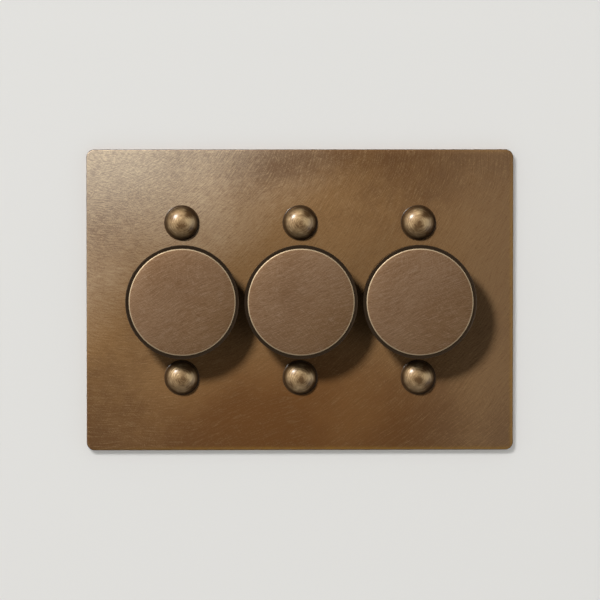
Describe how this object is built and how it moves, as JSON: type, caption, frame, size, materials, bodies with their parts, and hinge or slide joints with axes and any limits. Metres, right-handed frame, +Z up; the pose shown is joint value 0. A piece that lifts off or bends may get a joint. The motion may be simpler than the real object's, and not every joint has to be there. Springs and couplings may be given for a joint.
{
  "type": "wall dimmer switch",
  "caption": "Wall dimmer switch: round push-and-turn knobs in a row on an aged bronze plate held by dome-headed screws, with strap-mounted dimmer modules behind it.",
  "frame": {"origin": "on the wall's surface, at the middle of the plate and of the box-screw slots in the outer straps", "axes": "+X to the right along the wall as seen from the room, +Y into the wall, +Z up"},
  "size_m": [0.166, 0.0554, 0.117],
  "materials": {
    "plate_bronze": "aged, with fine swirling scratches",
    "cap_bronze": "aged, with fine turned scratches",
    "dome_bronze": "aged and polished",
    "grip_black": "fine satin",
    "spring_steel": "bright",
    "spindle_steel": "turned",
    "strap_steel": "zinc plated",
    "case_metal": "cast",
    "nut_steel": "nickel plated",
    "inner_plastic": "moulded",
    "track_board": "pressed board",
    "board_green": "varnished",
    "part_black": "moulded",
    "winding_copper": "varnished winding",
    "capacitor_red": "smooth",
    "housing_black": "moulded",
    "terminal_brass": "bright",
    "rivet_steel": "plain",
    "earth_green": "coloured plating"
  },
  "bodies": {
    "wall_unit": {"face_plate": "plate_bronze", "dome_screws": "dome_bronze", "bush_nuts": "nut_steel", "housing_rivets": "rivet_steel", "terminal_plates": "terminal_brass", "terminal_screws": "terminal_brass", "earth_screws": "earth_green", "mounting_strap_left": "strap_steel", "mounting_strap_centre": "strap_steel", "mounting_strap_right": "strap_steel", "control_case_left": "case_metal", "control_case_centre": "case_metal", "control_case_right": "case_metal", "track_plate_left": "track_board", "track_plate_centre": "track_board", "track_plate_right": "track_board", "switch_case_left": "inner_plastic", "switch_case_centre": "inner_plastic", "switch_case_right": "inner_plastic", "return_spring_left": "spring_steel", "return_spring_centre": "spring_steel", "return_spring_right": "spring_steel", "circuit_board_left": "board_green", "circuit_board_centre": "board_green", "circuit_board_right": "board_green", "triac_left": "part_black", "triac_centre": "part_black", "triac_right": "part_black", "choke_left": "winding_copper", "choke_centre": "winding_copper", "choke_right": "winding_copper", "capacitor_left": "capacitor_red", "capacitor_centre": "capacitor_red", "capacitor_right": "capacitor_red", "rear_housing_left": "housing_black", "rear_housing_centre": "housing_black", "rear_housing_right": "housing_black"},
    "knob_left": {"knob_sleeve_left": "grip_black", "knob_cap_left": "cap_bronze", "hub_clip_left": "spring_steel", "spindle_left": "spindle_steel"},
    "knob_centre": {"knob_sleeve_centre": "grip_black", "knob_cap_centre": "cap_bronze", "hub_clip_centre": "spring_steel", "spindle_centre": "spindle_steel"},
    "knob_right": {"knob_sleeve_right": "grip_black", "knob_cap_right": "cap_bronze", "hub_clip_right": "spring_steel", "spindle_right": "spindle_steel"},
    "rotor_left": {"wiper_rotor_left": "inner_plastic"},
    "rotor_centre": {"wiper_rotor_centre": "inner_plastic"},
    "rotor_right": {"wiper_rotor_right": "inner_plastic"},
    "plunger_left": {"switch_plunger_left": "part_black"},
    "plunger_centre": {"switch_plunger_centre": "part_black"},
    "plunger_right": {"switch_plunger_right": "part_black"}
  },
  "joints": [
    {"name": "push_left", "type": "slide", "parent": "wall_unit", "child": "plunger_left", "axis": [0, 1, 0], "range_m": [0, 0.0015], "stiffness_N_per_m": 1500, "springref_m": -0.002, "deforming": ["return_spring_left"]},
    {"name": "turn_left", "type": "hinge", "parent": "plunger_left", "child": "knob_left", "pos_m": [-0.046, 0, 0], "axis": [0, 1, 0], "range_deg": [-135, 135]},
    {"name": "rotor_turn_left", "type": "hinge", "parent": "wall_unit", "child": "rotor_left", "pos_m": [-0.046, 0, 0], "axis": [0, 1, 0], "range_deg": [-135, 135]},
    {"name": "push_centre", "type": "slide", "parent": "wall_unit", "child": "plunger_centre", "axis": [0, 1, 0], "range_m": [0, 0.0015], "stiffness_N_per_m": 1500, "springref_m": -0.002, "deforming": ["return_spring_centre"]},
    {"name": "turn_centre", "type": "hinge", "parent": "plunger_centre", "child": "knob_centre", "pos_m": [0, 0, 0], "axis": [0, 1, 0], "range_deg": [-135, 135]},
    {"name": "rotor_turn_centre", "type": "hinge", "parent": "wall_unit", "child": "rotor_centre", "pos_m": [0, 0, 0], "axis": [0, 1, 0], "range_deg": [-135, 135]},
    {"name": "push_right", "type": "slide", "parent": "wall_unit", "child": "plunger_right", "axis": [0, 1, 0], "range_m": [0, 0.0015], "stiffness_N_per_m": 1500, "springref_m": -0.002, "deforming": ["return_spring_right"]},
    {"name": "turn_right", "type": "hinge", "parent": "plunger_right", "child": "knob_right", "pos_m": [0.046, 0, 0], "axis": [0, 1, 0], "range_deg": [-135, 135]},
    {"name": "rotor_turn_right", "type": "hinge", "parent": "wall_unit", "child": "rotor_right", "pos_m": [0.046, 0, 0], "axis": [0, 1, 0], "range_deg": [-135, 135]}
  ],
  "couplings": [
    {"joint": "rotor_turn_left", "follows": "turn_left", "ratio": 1},
    {"joint": "rotor_turn_centre", "follows": "turn_centre", "ratio": 1},
    {"joint": "rotor_turn_right", "follows": "turn_right", "ratio": 1}
  ]
}
